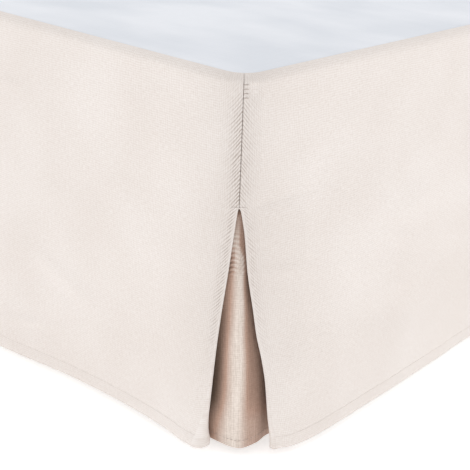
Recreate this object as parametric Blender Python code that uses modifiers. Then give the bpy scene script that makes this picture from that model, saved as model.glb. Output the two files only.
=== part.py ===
"""Tailored bed skirt on a box spring: one queen size, with an inverted pleat at each foot corner.

Metres, +Z up. The foot of the bed is at -Y and the head at +Y. The origin is on the floor, under
the middle of the whole object. A panel is worked out beside its corner, in three directions:
along (away from the corner), out (away from the bed) and up.
"""

import math

import bmesh
import bpy
from mathutils import Vector

# Driving dimensions of the bed under the skirt
BED_WIDTH = 1.524
BED_LENGTH = 2.032
BOX_BOTTOM = 0.190
BOX_CORNER_RADIUS = 0.050
BOX_EDGE_RADIUS = 0.012
LEG_TOP_RADIUS = 0.032
LEG_FOOT_RADIUS = 0.022
LEG_INSET = 0.110
LEG_SIDES = 16

# Driving dimensions of the skirt
DROP = 0.380
HEM_ABOVE_FLOOR = 0.010
CLOTH = 0.0015
HEM_CLOTH = 0.0027
HEM_HEIGHT = 0.015
SEAM_LENGTH = 0.120
SKIRT_CLEARANCE = 0.008
CORNER_RADIUS = 0.030
ROLL_RADIUS = 0.008
ROLL_TURNED_IN = 0.001
RETURN_DEPTH = 0.055
TIGHT_FOLD_RADIUS = 0.0019
LAYER_GAP = 0.0003
INSERT_GAP = 0.0015
INSERT_SIDE_GAP = 0.0008
LEAN_POWER = 1.2
SHIFT_REACH = 0.35
LEAN_REACH = 0.15

# The hem of each panel: how far it hangs out, by the distance along from the corner
FOOT_HEM = [
    # along, out
    (0.045, 0.007),
    (0.060, 0.007),
    (0.090, 0.004),
    (0.140, 0.004),
    (0.200, 0.007),
    (0.255, 0.0135),
    (0.310, 0.0225),
    (0.350, 0.028),
    (0.450, 0.026),
    (0.590, 0.018),
    (0.740, 0.026),
    (0.900, 0.018),
    (1.050, 0.027),
    (1.180, 0.022),
    (1.300, 0.012),
    (1.410, 0.004),
    (1.495, 0.007),
]
SIDE_HEM = [
    # along, out
    (0.047, 0.0147),
    (0.065, 0.0226),
    (0.088, 0.027),
    (0.115, 0.028),
    (0.180, 0.0278),
    (0.320, 0.0262),
    (0.365, 0.024),
    (0.420, 0.0238),
    (0.600, 0.027),
    (0.820, 0.020),
    (1.040, 0.026),
    (1.280, 0.019),
    (1.520, 0.026),
    (1.760, 0.020),
    (2.040, 0.024),
]

# Each pleat edge: where its soft fold begins at the hem, the fold's radius there, and how much
# faster than evenly the edge swings away below the seam
FOOT_FLAP = {"along": 0.0465, "radius": 0.0112, "bow": -0.06}
SIDE_FLAP = {"along": 0.0505, "radius": 0.0045, "bow": 0.20}

# The pleat insert seen from above. Each station lies behind a flap, that far along its return, or in
# the corner. Where it falls clear of the flap, its place at the hem is given from the two faces.
INSERT_STATIONS = [
    # behind, run, gap, hem_place (from_side, from_foot)
    ("foot", 1.0, LAYER_GAP, None),
    ("foot", 0.5, INSERT_SIDE_GAP, None),
    ("foot", 0.0, INSERT_GAP, None),
    ("corner", 0.0, INSERT_GAP, (0.0124, 0.0234)),
    ("side", 0.0, INSERT_GAP, (0.0060, 0.0430)),
    ("side", 0.5, INSERT_SIDE_GAP, (0.0070, 0.0670)),
    ("side", 1.0, LAYER_GAP, None),
]
INSERT_COLUMNS = 20
INSERT_FALL = 0.7
INSERT_DEPTH = 2 * TIGHT_FOLD_RADIUS + INSERT_GAP

# Where the cloth gets its rows and columns of points
RUNS_BY_PLEAT = [
    0.0, 0.005, 0.010, 0.015, 0.022, 0.033, 0.048, 0.068, 0.092, 0.125, 0.165, 0.210, 0.260, 0.310, 0.355
]
RETURN_RUNS = [1.0, 0.7, 0.4, 0.2, 0.1]
FAR_SPACING = 0.110
FOLD_STEPS = 6
ROLL_STEPS = 2
CORNER_STEPS = 6
BOX_EDGE_STEPS = 3
ROW_HEIGHTS = [0.330, 0.270, 0.238, 0.195, 0.150, 0.105, 0.060]

# Short steps that give a curve's direction, and how close two places count as one
RUN_STEP = 0.0005
SHARE_STEP = 0.002
SAME_PLACE = 1e-6

# Worked out from the above
TOP = HEM_ABOVE_FLOOR + DROP
SEAM_END = TOP - SEAM_LENGTH
SKIRT_HALF_WIDTH = BED_WIDTH / 2 + SKIRT_CLEARANCE
FOOT_FLARE = max(out for along, out in FOOT_HEM)
OVERALL_LENGTH = FOOT_FLARE + SKIRT_CLEARANCE + BED_LENGTH
FOOT_FACE_Y = FOOT_FLARE - OVERALL_LENGTH / 2
HEAD_Y = OVERALL_LENGTH / 2
SIDE_LENGTH = HEAD_Y - FOOT_FACE_Y
FOOT_LENGTH = 2 * SKIRT_HALF_WIDTH
BOX_TOP = TOP - CLOTH - LAYER_GAP
DECK_INSET = ROLL_RADIUS + ROLL_TURNED_IN + LAYER_GAP

WARM_WHITE = (0.86, 0.81, 0.77, 1.0)
COOL_WHITE = (0.80, 0.81, 0.85, 1.0)
TICKING_GREY = (0.55, 0.53, 0.50, 1.0)
BEECH = (0.52, 0.35, 0.20, 1.0)


def clear_scene():
    """Removes every object that the file opened with."""
    for scene_object in list(bpy.data.objects):
        bpy.data.objects.remove(scene_object, do_unlink=True)


def make_material(name, colour, roughness):
    """A plain Principled material, cloth or wood, with no metal in it."""
    material = bpy.data.materials.new(name)
    material.use_nodes = True
    shader = material.node_tree.nodes["Principled BSDF"]
    shader.inputs["Base Color"].default_value = colour
    shader.inputs["Roughness"].default_value = roughness
    shader.inputs["Metallic"].default_value = 0.0
    return material


def add_object(name, mesh, material, collection):
    """Puts a mesh into the collection as one named object with its own material."""
    mesh.materials.append(material)
    made = bpy.data.objects.new(name, mesh)
    collection.objects.link(made)
    return made


def smooth_step(value):
    """Eases from 0 to 1 as the value goes from 0 to 1."""
    held = min(max(value, 0.0), 1.0)
    return held * held * (3 - 2 * held)


def soft_curve(rows, place):
    """Reads a smooth curve through the rows of (place, value), level beyond its ends."""
    if place <= rows[0][0]:
        return rows[0][1]
    if place >= rows[-1][0]:
        return rows[-1][1]
    slopes = [0.0]
    for before, after in zip(rows[:-2], rows[2:]):
        slopes.append((after[1] - before[1]) / (after[0] - before[0]))
    slopes.append(0.0)
    index = max(i for i, row in enumerate(rows[:-1]) if row[0] <= place)
    (x0, y0), (x1, y1) = rows[index], rows[index + 1]
    span = x1 - x0
    u = (place - x0) / span
    start = (1 + 2 * u) * (1 - u) ** 2 * y0 + u * (1 - u) ** 2 * span * slopes[index]
    end = u * u * (3 - 2 * u) * y1 + u * u * (u - 1) * span * slopes[index + 1]
    return start + end


def opening(height, bow=0.0):
    """How far the pleat has opened: 0 down to the seam's end, 1 at the hem."""
    down = min(max((SEAM_END - height) / (SEAM_END - HEM_ABOVE_FLOOR), 0.0), 1.0)
    return down + bow * down * (1 - down)


class Flap:
    """One panel's cloth beside its corner: its front, its soft fold at the pleat and its return."""

    def __init__(self, hem_rows, flap):
        self.hem_rows = hem_rows
        self.hem_along = flap["along"]
        self.hem_radius = flap["radius"]
        self.bow = flap["bow"]
        spare = TIGHT_FOLD_RADIUS + LAYER_GAP / 2
        self.start_angle = math.pi / 4 - math.asin(spare / (CORNER_RADIUS - TIGHT_FOLD_RADIUS))

    def fold_radius(self, height):
        """Outer radius of the fold: pressed along the seam, loose at the hem."""
        loosening = opening(height, self.bow) ** 3
        return TIGHT_FOLD_RADIUS + (self.hem_radius - TIGHT_FOLD_RADIUS) * loosening

    def front_place(self, run, height):
        """Plan place (along, out) of the front, RUN metres along the cloth from its fold."""
        arc_run = min(run, CORNER_RADIUS * self.start_angle)
        turn = self.start_angle - arc_run / CORNER_RADIUS
        along = CORNER_RADIUS * (1 - math.sin(turn)) + run - arc_run
        out = -CORNER_RADIUS * (1 - math.cos(turn))
        open_share = opening(height, self.bow)
        shift = self.hem_along - CORNER_RADIUS * (1 - math.sin(self.start_angle))
        shift *= max(1 - run / SHIFT_REACH, 0.0) ** 2
        hang = ((TOP - height) / DROP) ** LEAN_POWER
        far_share = smooth_step(run / LEAN_REACH)
        lean = open_share + (hang - open_share) * far_share
        out_at_hem = soft_curve(self.hem_rows, along + shift)
        return along + shift * open_share, out * (1 - open_share) + lean * out_at_hem

    def behind_return(self, run, height, gap):
        """Plan place (along, out) just behind the return, RUN metres along the cloth from the fold."""
        here, _, outward = self.front_frame(run, height)
        return here - outward * (2 * self.fold_radius(height) + gap)

    def front_frame(self, run, height):
        """The front's place with its unit directions: towards the corner, and outward."""
        here = Vector(self.front_place(run, height))
        ahead = Vector(self.front_place(run + RUN_STEP, height))
        away = (ahead - here).normalized()
        outward = Vector((-away.y, away.x))
        return here, -away, outward

    def point(self, column, row):
        """Place (along, out, up) of one point of the cloth's outer face."""
        kind, value = column
        height, roll = row
        radius = self.fold_radius(height)
        run = value if kind != "fold" else 0.0
        here, corner_way, outward = self.front_frame(run, height)
        depth = {"front": 0.0, "fold": radius * (1 - math.cos(value)), "return": 2 * radius}[kind]
        inset, up = turned(depth, row)
        sideways = radius * math.sin(value) if kind == "fold" else 0.0
        if roll:
            sideways *= (CORNER_RADIUS - inset) / (CORNER_RADIUS - radius)
        place = here + corner_way * sideways - outward * inset
        return place.x, place.y, up


def turned(depth, row):
    """Inset and height of cloth DEPTH behind the outer face, on the drop or round the top's roll."""
    height, roll = row
    if not roll:
        return depth, height
    angle, turned_in = roll
    reach = ROLL_RADIUS - depth
    inset = ROLL_RADIUS - reach * math.cos(angle) + turned_in
    return inset, TOP - ROLL_RADIUS + reach * math.sin(angle)


def cloth_rows():
    """The rows of points from the top edge's turned-in cloth down to the hem: (height, roll)."""
    rows = [(TOP, (math.pi / 2, ROLL_TURNED_IN))]
    for step in range(ROLL_STEPS):
        rows.append((TOP, (math.pi / 2 * (1 - step / ROLL_STEPS), 0.0)))
    heights = [TOP - ROLL_RADIUS] + ROW_HEIGHTS
    hem_top = HEM_ABOVE_FLOOR + HEM_HEIGHT
    heights += [hem_top + CLOTH, hem_top, HEM_ABOVE_FLOOR]
    return rows + [(height, None) for height in heights]


def pleat_columns():
    """The columns of points from a return's hidden edge, round the fold, to the front's first."""
    columns = [("return", RETURN_DEPTH * share) for share in RETURN_RUNS]
    for step in range(FOLD_STEPS):
        columns.append(("fold", math.pi * (1 - step / FOLD_STEPS)))
    return columns


def front_runs(last_run):
    """Runs of the front's columns: close together by the pleat, wide apart beyond it."""
    runs = [run for run in RUNS_BY_PLEAT if run < last_run]
    steps = round((last_run - runs[-1]) / FAR_SPACING)
    spacing = (last_run - runs[-1]) / steps
    return runs + [runs[-1] + spacing * (step + 1) for step in range(steps)]


def sheet_mesh(name, points, facing_out):
    """Bends a flat grid into the sheet whose points are listed column by column."""
    columns, rows = len(points), len(points[0])
    grid = bmesh.new()
    bmesh.ops.create_grid(grid, x_segments=columns - 1, y_segments=rows - 1, size=0.5)
    for vert in grid.verts:
        column = round((vert.co.x + 0.5) * (columns - 1))
        row = round((0.5 - vert.co.y) * (rows - 1))
        vert.co = points[column][row]
    if not facing_out:
        bmesh.ops.reverse_faces(grid, faces=grid.faces)
    mesh = bpy.data.meshes.new(name)
    grid.to_mesh(mesh)
    grid.free()
    return mesh


def add_cloth(name, points, facing_out, material, collection):
    """Adds one sheet of cloth, thickened inward, with its hem turned up double."""
    mesh = sheet_mesh(name, points, facing_out)
    cloth = add_object(name, mesh, material, collection)
    hem = cloth.vertex_groups.new(name="hem")
    hem_top = HEM_ABOVE_FLOOR + HEM_HEIGHT + CLOTH / 2
    hem.add([vert.index for vert in mesh.vertices if vert.co.z < hem_top], 1.0, "REPLACE")
    thickness = cloth.modifiers.new("Thickness", "SOLIDIFY")
    thickness.thickness = HEM_CLOTH
    thickness.offset = -1.0
    thickness.vertex_group = hem.name
    thickness.thickness_vertex_group = CLOTH / HEM_CLOTH
    mesh.shade_smooth()


def side_place(side, along, out, up):
    """World place of a side panel's point; SIDE is 1 at +X and -1 at -X."""
    return side * (SKIRT_HALF_WIDTH + out), FOOT_FACE_Y + along, up


def foot_place(side, along, out, up):
    """World place of a foot panel's point, counted from the corner on that side."""
    return side * (SKIRT_HALF_WIDTH - along), FOOT_FACE_Y - out, up


def add_side_panel(name, side, material, collection):
    """A side panel: from its pleat at the foot corner to its plain edge at the head."""
    flap = Flap(SIDE_HEM, SIDE_FLAP)
    first_along = flap.front_place(RUNS_BY_PLEAT[-1], TOP)[0]
    last_run = RUNS_BY_PLEAT[-1] + SIDE_LENGTH - first_along
    columns = pleat_columns() + [("front", run) for run in front_runs(last_run)]
    rows = cloth_rows()
    points = [[side_place(side, *flap.point(column, row)) for row in rows] for column in columns]
    add_cloth(name, points, side > 0, material, collection)


def add_foot_panel(name, material, collection):
    """The foot panel: a pleat at both ends, and a plain front between them."""
    middle_run = RUNS_BY_PLEAT[-1]
    rows = cloth_rows()
    points = []
    for side in (-1, 1):
        hem_rows = FOOT_HEM
        if side < 0:
            hem_rows = [(FOOT_LENGTH - along, out) for along, out in reversed(FOOT_HEM)]
        flap = Flap(hem_rows, FOOT_FLAP)
        last_run = middle_run + FOOT_LENGTH / 2 - flap.front_place(middle_run, TOP)[0]
        columns = pleat_columns() + [("front", run) for run in front_runs(last_run)]
        half = [[foot_place(side, *flap.point(column, row)) for row in rows] for column in columns]
        if side < 0:
            points = half
        else:
            points += list(reversed(half[:-1]))
    add_cloth(name, points, True, material, collection)


def insert_stations(flaps, height):
    """Plan stations of an insert at one height, in from the side's face and from the foot's face."""
    share = opening(height) ** INSERT_FALL
    stations = []
    for behind, run, gap, hem_place in INSERT_STATIONS:
        if behind == "corner":
            reach = CORNER_RADIUS - 2 * TIGHT_FOLD_RADIUS - gap
            place = Vector((1.0, 1.0)) * (CORNER_RADIUS - reach * math.sin(math.pi / 4))
        else:
            along, out = flaps[behind].behind_return(run * RETURN_DEPTH, height, gap)
            place = Vector((along, -out)) if behind == "foot" else Vector((-out, along))
        if hem_place:
            place = place.lerp(Vector(hem_place), share)
        stations.append(place)
    return stations


def along_stations(stations, share):
    """A point and its inward direction on the smooth curve through the plan stations."""
    lengths = [0.0]
    for before, after in zip(stations[:-1], stations[1:]):
        lengths.append(lengths[-1] + (after - before).length)
    place = share * lengths[-1]

    def read(distance):
        return Vector([
            soft_curve_through(lengths, [station[axis] for station in stations], distance)
            for axis in (0, 1)
        ])

    step = lengths[-1] * SHARE_STEP
    here = read(place)
    way = (read(min(place + step, lengths[-1])) - read(max(place - step, 0.0))).normalized()
    return here, Vector((way.y, -way.x))


def soft_curve_through(places, values, place):
    """A smooth curve like soft_curve, but with its end slopes kept straight."""
    first = 2 * values[0] - values[1]
    last = 2 * values[-1] - values[-2]
    rows = [(2 * places[0] - places[1], first)]
    rows += list(zip(places, values))
    rows.append((2 * places[-1] - places[-2], last))
    return soft_curve(rows, place)


def add_insert(name, side, material, collection):
    """The underlay of one pleat, from its edge on the foot's return to that on the side's."""
    flaps = {"foot": Flap(FOOT_HEM, FOOT_FLAP), "side": Flap(SIDE_HEM, SIDE_FLAP)}
    points = []
    for column in range(INSERT_COLUMNS + 1):
        line = []
        for row in cloth_rows():
            height, roll = row
            stations = insert_stations(flaps, height)
            place, inward = along_stations(stations, column / INSERT_COLUMNS)
            inset, up = turned(INSERT_DEPTH, row)
            place += inward * (inset - INSERT_DEPTH if roll else 0.0)
            line.append((side * (SKIRT_HALF_WIDTH - place.x), FOOT_FACE_Y + place.y, up))
        points.append(line)
    add_cloth(name, points, side > 0, material, collection)


def add_deck(material, collection):
    """The thin platform cloth that lies on the box spring inside the skirt's top edge."""
    bpy.ops.mesh.primitive_cube_add(size=1.0)
    deck = bpy.context.object
    deck.name = "deck"
    foot_y = FOOT_FACE_Y + DECK_INSET
    deck.dimensions = (2 * (SKIRT_HALF_WIDTH - DECK_INSET), HEAD_Y - foot_y, CLOTH)
    deck.location = (0.0, (HEAD_Y + foot_y) / 2, TOP - CLOTH / 2)
    bpy.ops.object.transform_apply(location=True, rotation=False, scale=True)
    round_upright_edges(deck, CORNER_RADIUS - DECK_INSET, lambda place: place.y < 0)
    deck.data.materials.append(material)
    move_to(deck, collection)


def round_upright_edges(made, radius, chosen):
    """Rounds the upright corner edges whose middle is chosen."""
    shape = bmesh.new()
    shape.from_mesh(made.data)
    edges = [
        edge for edge in shape.edges
        if (edge.verts[0].co - edge.verts[1].co).xy.length < SAME_PLACE
        and chosen((edge.verts[0].co + edge.verts[1].co) / 2)
    ]
    bmesh.ops.bevel(
        shape,
        geom=edges,
        offset=radius,
        segments=CORNER_STEPS,
        profile=0.5,
        affect="EDGES",
        material=-1,
    )
    shape.to_mesh(made.data)
    shape.free()


def move_to(made, collection):
    """Links an object to the collection only."""
    for other in list(made.users_collection):
        other.objects.unlink(made)
    collection.objects.link(made)


def add_box_spring(material, collection):
    """The plain box spring: rounded upright corners and softly rounded long edges."""
    bpy.ops.mesh.primitive_cube_add(size=1.0)
    box = bpy.context.object
    box.name = "box_spring"
    box.dimensions = (BED_WIDTH, BED_LENGTH, BOX_TOP - BOX_BOTTOM)
    box.location = (0.0, HEAD_Y - BED_LENGTH / 2, (BOX_TOP + BOX_BOTTOM) / 2)
    bpy.ops.object.transform_apply(location=True, rotation=False, scale=True)
    round_upright_edges(box, BOX_CORNER_RADIUS, lambda place: True)
    edge = box.modifiers.new("Soft edges", "BEVEL")
    edge.width = BOX_EDGE_RADIUS
    edge.segments = BOX_EDGE_STEPS
    edge.limit_method = "ANGLE"
    edge.angle_limit = math.radians(60)
    box.data.materials.append(material)
    move_to(box, collection)


def add_legs(material, collection):
    """Six tapered round legs screwed up under the box spring."""
    height = BOX_BOTTOM - LAYER_GAP
    half_width = BED_WIDTH / 2 - LEG_INSET
    middle_y = HEAD_Y - BED_LENGTH / 2
    half_length = BED_LENGTH / 2 - LEG_INSET
    for column, x in (("left", -half_width), ("right", half_width)):
        for row, y in (("foot", -half_length), ("middle", 0.0), ("head", half_length)):
            bpy.ops.mesh.primitive_cone_add(
                vertices=LEG_SIDES,
                radius1=LEG_FOOT_RADIUS,
                radius2=LEG_TOP_RADIUS,
                depth=height,
                location=(x, middle_y + y, height / 2),
            )
            leg = bpy.context.object
            leg.name = f"leg_{row}_{column}"
            leg.data.shade_smooth()
            leg.data.set_sharp_from_angle(angle=math.radians(40))
            leg.data.materials.append(material)
            move_to(leg, collection)


def main():
    """Builds the bed skirt and the bed that it hangs on."""
    clear_scene()
    collection = bpy.data.collections.new("bed_skirt")
    bpy.context.scene.collection.children.link(collection)
    skirt_cloth = make_material("linen_look_cloth", WARM_WHITE, 0.9)
    deck_cloth = make_material("platform_cloth", COOL_WHITE, 0.85)
    ticking = make_material("ticking", TICKING_GREY, 0.9)
    wood = make_material("beech", BEECH, 0.5)
    add_box_spring(ticking, collection)
    add_legs(wood, collection)
    add_deck(deck_cloth, collection)
    add_foot_panel("skirt_foot", skirt_cloth, collection)
    add_side_panel("skirt_right", 1, skirt_cloth, collection)
    add_side_panel("skirt_left", -1, skirt_cloth, collection)
    add_insert("pleat_insert_right", 1, skirt_cloth, collection)
    add_insert("pleat_insert_left", -1, skirt_cloth, collection)


main()
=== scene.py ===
"""Looks of a tailored bed skirt on its box spring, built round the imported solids.

Metres, +Z up, with the foot of the bed at -Y and the head at +Y. A panel of cloth is worked out
beside its corner in three directions: along (away from the corner), out (away from the bed) and
up. Places on the cloth itself are its run, measured along the cloth from the pleat's fold, and its
height above the floor.
"""

from __future__ import annotations

import logging
import math
from collections.abc import Callable, Sequence
from dataclasses import dataclass, field, replace
from enum import Enum
from functools import partial

import bmesh
import bpy
import numpy as np
from bmesh.types import BMEdge, BMesh, BMLoop
from bpy.types import Material, Mesh, Node, NodeSocket, NodeTree, Object
from mathutils import Matrix, Vector, noise


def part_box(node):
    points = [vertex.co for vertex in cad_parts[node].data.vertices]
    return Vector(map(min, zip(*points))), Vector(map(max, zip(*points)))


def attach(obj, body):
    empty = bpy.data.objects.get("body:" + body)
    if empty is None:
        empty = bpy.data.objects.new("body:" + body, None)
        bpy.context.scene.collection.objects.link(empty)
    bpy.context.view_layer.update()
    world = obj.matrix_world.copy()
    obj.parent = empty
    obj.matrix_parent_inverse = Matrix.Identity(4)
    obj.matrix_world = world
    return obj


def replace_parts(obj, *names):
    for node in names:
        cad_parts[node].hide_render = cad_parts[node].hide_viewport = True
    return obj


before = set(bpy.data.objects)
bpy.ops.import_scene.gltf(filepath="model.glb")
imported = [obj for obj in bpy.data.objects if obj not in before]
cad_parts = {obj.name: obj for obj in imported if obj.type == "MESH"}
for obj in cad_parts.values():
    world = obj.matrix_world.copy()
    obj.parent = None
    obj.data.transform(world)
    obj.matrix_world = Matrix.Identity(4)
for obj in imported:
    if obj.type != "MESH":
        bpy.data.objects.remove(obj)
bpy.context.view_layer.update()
BODY = "root"
LOG = logging.getLogger("bed_skirt")

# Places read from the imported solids
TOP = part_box("deck")[1].z
HEM_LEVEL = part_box("skirt_right")[0].z
BED_LOW, BED_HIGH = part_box("box_spring")
HEAD_Y = BED_HIGH.y

# Driving dimensions of the skirt, the same as the solids have
CLEARANCE = 0.008
CORNER_RADIUS = 0.030
ROLL_RADIUS = 0.008
SEAM_LENGTH = 0.120
RETURN_DEPTH = 0.055
HEM_HEIGHT = 0.015
LAYER_GAP = 0.0003
INSERT_GAP = 0.0015
INSERT_SIDE_GAP = 0.0008
SOLID_FOLD_RADIUS = 0.0019
LEAN_POWER = 1.2
SHIFT_REACH = 0.35
LEAN_REACH = 0.15
FACE_X = BED_HIGH.x + CLEARANCE
FACE_Y = BED_LOW.y - CLEARANCE
SEAM_END = TOP - SEAM_LENGTH
DROP = TOP - HEM_LEVEL
FOOT_LENGTH = 2 * FACE_X

# The real cloth, thinner than its solids
CLOTH = 0.0006
HEM_CLOTH = 0.0018
FOLD_RADIUS = 0.0007
STITCH = 0.0038
HEM_STITCH_UP = 0.0140
UNDERLAY_STITCH_UP = 0.0090

# The hem of each panel: how far it hangs out, by the distance along from the corner
FOOT_HEM = (
    # along, out
    (0.045, 0.007),
    (0.060, 0.007),
    (0.090, 0.004),
    (0.140, 0.004),
    (0.200, 0.007),
    (0.255, 0.0135),
    (0.310, 0.0225),
    (0.350, 0.028),
    (0.450, 0.026),
    (0.590, 0.018),
    (0.740, 0.026),
    (0.900, 0.018),
    (1.050, 0.027),
    (1.180, 0.022),
    (1.300, 0.012),
    (1.410, 0.004),
    (1.495, 0.007),
)
SIDE_HEM = (
    # along, out
    (0.047, 0.0147),
    (0.065, 0.0226),
    (0.088, 0.027),
    (0.115, 0.028),
    (0.180, 0.0278),
    (0.320, 0.0262),
    (0.365, 0.024),
    (0.420, 0.0238),
    (0.600, 0.027),
    (0.820, 0.020),
    (1.040, 0.026),
    (1.280, 0.019),
    (1.520, 0.026),
    (1.760, 0.020),
    (2.040, 0.024),
)

# How far each flap has swung open, by the share of the way down from the seam's end to the hem
FOOT_OPENING = (
    # share of the way down, share open
    (0.00, 0.000),
    (0.006, 0.016),
    (0.02, 0.032),
    (0.12, 0.108),
    (0.25, 0.205),
    (0.40, 0.335),
    (0.55, 0.455),
    (0.70, 0.570),
    (0.80, 0.665),
    (0.90, 0.810),
    (1.00, 1.000),
)
SIDE_OPENING = (
    # share of the way down, share open
    (0.00, 0.000),
    (0.006, 0.022),
    (0.02, 0.045),
    (0.10, 0.125),
    (0.25, 0.223),
    (0.40, 0.375),
    (0.50, 0.473),
    (0.60, 0.618),
    (0.70, 0.739),
    (0.85, 0.858),
    (1.00, 1.000),
)

# The pleat insert seen from above. Each station lies behind a flap, that far along its return, or in
# the corner. Where it falls clear of the flap, its place at the hem is given from the two faces.
INSERT_STATIONS = (
    # behind, run, gap, hem_place (from_side, from_foot)
    ("foot", 1.0, LAYER_GAP, None),
    ("foot", 0.5, INSERT_SIDE_GAP, None),
    ("foot", 0.0, INSERT_GAP, None),
    ("corner", 0.0, INSERT_GAP, (0.0124, 0.0234)),
    ("side", 0.0, INSERT_GAP, (0.0060, 0.0430)),
    ("side", 0.5, INSERT_SIDE_GAP, (0.0070, 0.0670)),
    ("side", 1.0, LAYER_GAP, None),
)
INSERT_FALL = 0.7

# The wave texture's own length at a scale of 1
WAVE_LENGTH = math.pi / 10

# The mix node's settings, and its numbers for the two colours and for the mixed one
MIX = {"data_type": "RGBA"}
MULTIPLY = {**MIX, "blend_type": "MULTIPLY"}
FIRST, SECOND, MIXED = 6, 7, 2


def linear(hex_code: str) -> tuple[float, float, float, float]:
    """Turns an sRGB hex colour into linear values.

    Args:
        hex_code: Six hex digits after a hash.

    Returns:
        Linear red, green and blue, and an alpha of 1.
    """
    shares = [channel / 255 for channel in bytes.fromhex(hex_code[1:])]
    # The sRGB standard's own numbers
    red, green, blue = (
        share / 12.92 if share <= 0.04045 else ((share + 0.055) / 1.055) ** 2.4 for share in shares
    )
    return red, green, blue, 1.0


def smooth_step(values: np.ndarray) -> np.ndarray:
    """Eases from 0 to 1 as the values go from 0 to 1."""
    held = np.clip(values, 0.0, 1.0)
    return held * held * (3 - 2 * held)


def below_the_seam(height: np.ndarray) -> np.ndarray:
    """The share of the way down from the seam's end to the hem, below 0 along the seam."""
    return (SEAM_END - height) / (SEAM_END - HEM_LEVEL)


def sewn_shut(height: np.ndarray) -> np.ndarray:
    """How firmly the pleat is held shut: 1 along the seam, 0 from a stitch below its end."""
    return smooth_step((height - SEAM_END + STITCH) / (2 * STITCH))


def soft_curve(rows: Sequence[tuple[float, float]], places: np.ndarray) -> np.ndarray:
    """Reads a smooth curve through rows, level beyond its ends.

    Args:
        rows: Pairs of place and value, in order of place.
        places: Where to read it.

    Returns:
        The values there.
    """
    known, values = np.array(rows, float).T
    slopes = np.zeros(len(known))
    slopes[1:-1] = (values[2:] - values[:-2]) / (known[2:] - known[:-2])
    held = np.clip(places, known[0], known[-1])
    index = np.clip(np.searchsorted(known, held, side="right") - 1, 0, len(known) - 2)
    span = known[index + 1] - known[index]
    u = (held - known[index]) / span
    start = (1 + 2 * u) * (1 - u) ** 2 * values[index] + u * (1 - u) ** 2 * span * slopes[index]
    end = u * u * (3 - 2 * u) * values[index + 1] + u * u * (u - 1) * span * slopes[index + 1]
    return start + end


def soft_noise(across: np.ndarray, down: np.ndarray, size: float, seed: float) -> np.ndarray:
    """Smooth random swells between about -1 and 1.

    Args:
        across: Places across the cloth, in metres.
        down: Places down the cloth, in metres.
        size: How wide a swell is, in metres.
        seed: Which set of swells it is.

    Returns:
        The swells at those places.
    """
    across, down = np.broadcast_arrays(across, down)
    spots = zip((across / size).ravel(), (down / size).ravel())
    swells = [noise.noise((spot_across, spot_down, seed)) for spot_across, spot_down in spots]
    return np.array(swells).reshape(across.shape)


class Corner(Enum):
    """The two foot corners, by the side of the bed that they are on."""

    RIGHT = 1
    LEFT = -1

    @property
    def label(self) -> str:
        """The corner's word in names."""
        return self.name.lower()


@dataclass(frozen=True)
class Columns:
    """The upright columns of a panel's points.

    run is the distance along the cloth from the fold, turn the angle turned behind the front (0 on
    it, half a turn on the return), and across the distance along the flat cloth, for the weave.
    """

    run: np.ndarray
    turn: np.ndarray
    across: np.ndarray


@dataclass(frozen=True)
class Rows:
    """The level rows of a sheet's points: height, distance down the cloth, and place on the roll."""

    height: np.ndarray
    down: np.ndarray
    rolled: np.ndarray
    roll: np.ndarray
    turned_in: np.ndarray

    def turned(self, depth: np.ndarray) -> tuple[np.ndarray, np.ndarray]:
        """Inset and height of cloth that lies depth metres behind the outer face."""
        reach = ROLL_RADIUS - depth
        inset = ROLL_RADIUS - reach * np.cos(self.roll) + self.turned_in
        up = TOP - ROLL_RADIUS + reach * np.sin(self.roll)
        level = np.broadcast_to(self.height, up.shape)
        return np.where(self.rolled, inset, depth), np.where(self.rolled, up, level)


@dataclass(frozen=True)
class RowSpacing:
    """How close together a hanging sheet's rows are."""

    spacing: float = 0.004
    roll_steps: int = 8
    turned_in: float = 0.001
    stitch_up: float = HEM_STITCH_UP
    groove_rows: tuple[float, ...] = (-0.0022, -0.0011, 0.0, 0.0011, 0.0022)
    seam_end_rows: tuple[float, ...] = (-0.0045, -0.0030, -0.0015, 0.0)

    def build(self) -> Rows:
        """Lists the rows from the turned-in top edge down to the hem.

        Returns:
            The rows, top first.
        """
        quarter = math.pi / 2
        start = TOP - ROLL_RADIUS
        stitches = HEM_LEVEL + self.stitch_up
        steps = round((start - HEM_LEVEL) / self.spacing)
        drop = np.linspace(start, HEM_LEVEL, steps + 1)
        close = np.append(stitches + np.array(self.groove_rows), SEAM_END + np.array(self.seam_end_rows))
        apart = np.abs(drop[:, None] - close).min(1) > self.spacing / 4
        drop = np.sort(np.append(drop[apart], close))[::-1]
        angles = np.append(quarter, quarter * (1 - np.arange(self.roll_steps) / self.roll_steps))
        turned_in = np.zeros(len(angles) + len(drop))
        turned_in[0] = self.turned_in
        return Rows(
            height=np.append(np.full(len(angles), TOP), drop),
            down=np.append(-ROLL_RADIUS * angles, start - drop) - turned_in,
            rolled=np.append(np.full(len(angles), True), np.full(len(drop), False)),
            roll=np.append(angles, np.zeros(len(drop))),
            turned_in=turned_in,
        )


@dataclass(frozen=True)
class Crease:
    """A soft ridge, or a trough where its rise is below 0, between two places on the cloth."""

    run_from: float
    height_from: float
    run_to: float
    height_to: float
    half_width: float
    rise: float
    end_share: float = 0.35

    def at(self, run: np.ndarray, height: np.ndarray) -> np.ndarray:
        """How far the crease lifts the cloth at some places."""
        way_run = self.run_to - self.run_from
        way_up = self.height_to - self.height_from
        length = way_run * way_run + way_up * way_up
        share = ((run - self.run_from) * way_run + (height - self.height_from) * way_up) / length
        held = np.clip(share, 0.0, 1.0)
        off_run = run - self.run_from - held * way_run
        off_up = height - self.height_from - held * way_up
        away = (off_run * off_run + off_up * off_up) / self.half_width ** 2
        middle = self.end_share + (1 - self.end_share) * smooth_step(2 * np.minimum(held, 1 - held))
        return self.rise * middle * np.exp(-away)


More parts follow.
